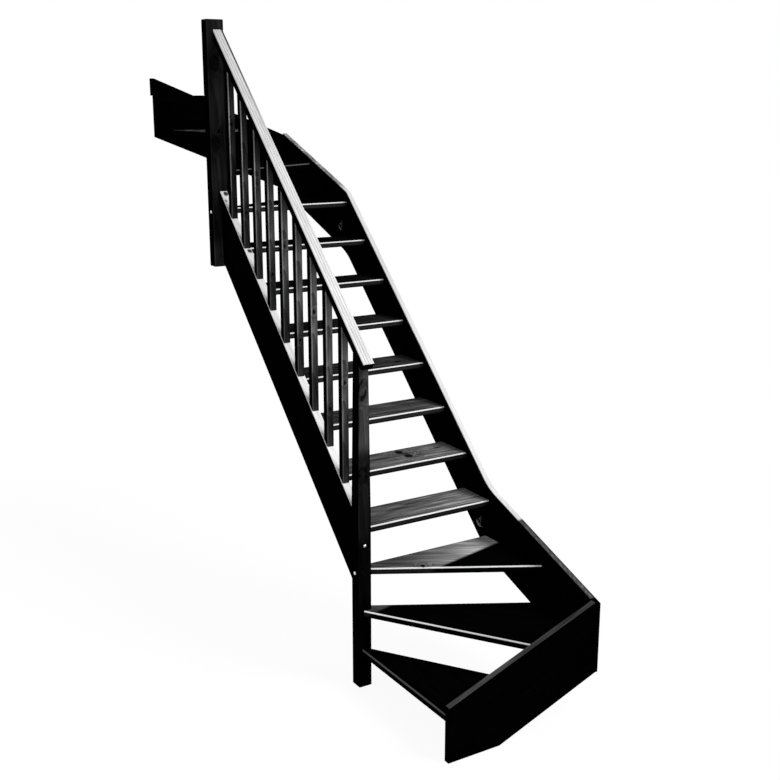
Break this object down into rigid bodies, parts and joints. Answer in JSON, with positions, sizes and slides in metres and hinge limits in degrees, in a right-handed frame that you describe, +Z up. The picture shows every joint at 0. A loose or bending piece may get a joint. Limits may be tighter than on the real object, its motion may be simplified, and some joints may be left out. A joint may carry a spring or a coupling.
{
  "type": "double quarter turn staircase",
  "caption": "Open-riser timber staircase with winder treads turning it a quarter at the foot and the head, newels, square balusters and a handrail on the inner side.",
  "frame": {"origin": "Centre of the lower newel's foot, on the floor.", "axes": "+Z is up, +Y is the way the middle flight climbs, and +X points from the newels to the outer string. The way in at the foot is along +X, and the way out at the head is along -X."},
  "size_m": [0.896, 3.088, 3.1969],
  "materials": {
    "string_wood": "satin",
    "newel_wood": "satin",
    "tread_wood": "satin",
    "baluster_wood": "satin",
    "rail_wood": "satin"
  },
  "bodies": {
    "root": {"newel_lower": "newel_wood", "newel_upper": "newel_wood", "string_lower": "string_wood", "string_outer": "string_wood", "string_upper": "string_wood", "string_inner": "string_wood", "base_rail": "rail_wood", "handrail": "rail_wood", "baluster_1": "baluster_wood", "baluster_2": "baluster_wood", "baluster_3": "baluster_wood", "baluster_4": "baluster_wood", "baluster_5": "baluster_wood", "baluster_6": "baluster_wood", "baluster_7": "baluster_wood", "baluster_8": "baluster_wood", "baluster_9": "baluster_wood", "tread_01": "tread_wood", "tread_02": "tread_wood", "tread_03": "tread_wood", "tread_04": "tread_wood", "tread_05": "tread_wood", "tread_06": "tread_wood", "tread_07": "tread_wood", "tread_08": "tread_wood", "tread_09": "tread_wood", "tread_10": "tread_wood", "tread_11": "tread_wood", "tread_12": "tread_wood", "tread_13": "tread_wood", "landing_nosing": "tread_wood"}
  },
  "joints": []
}
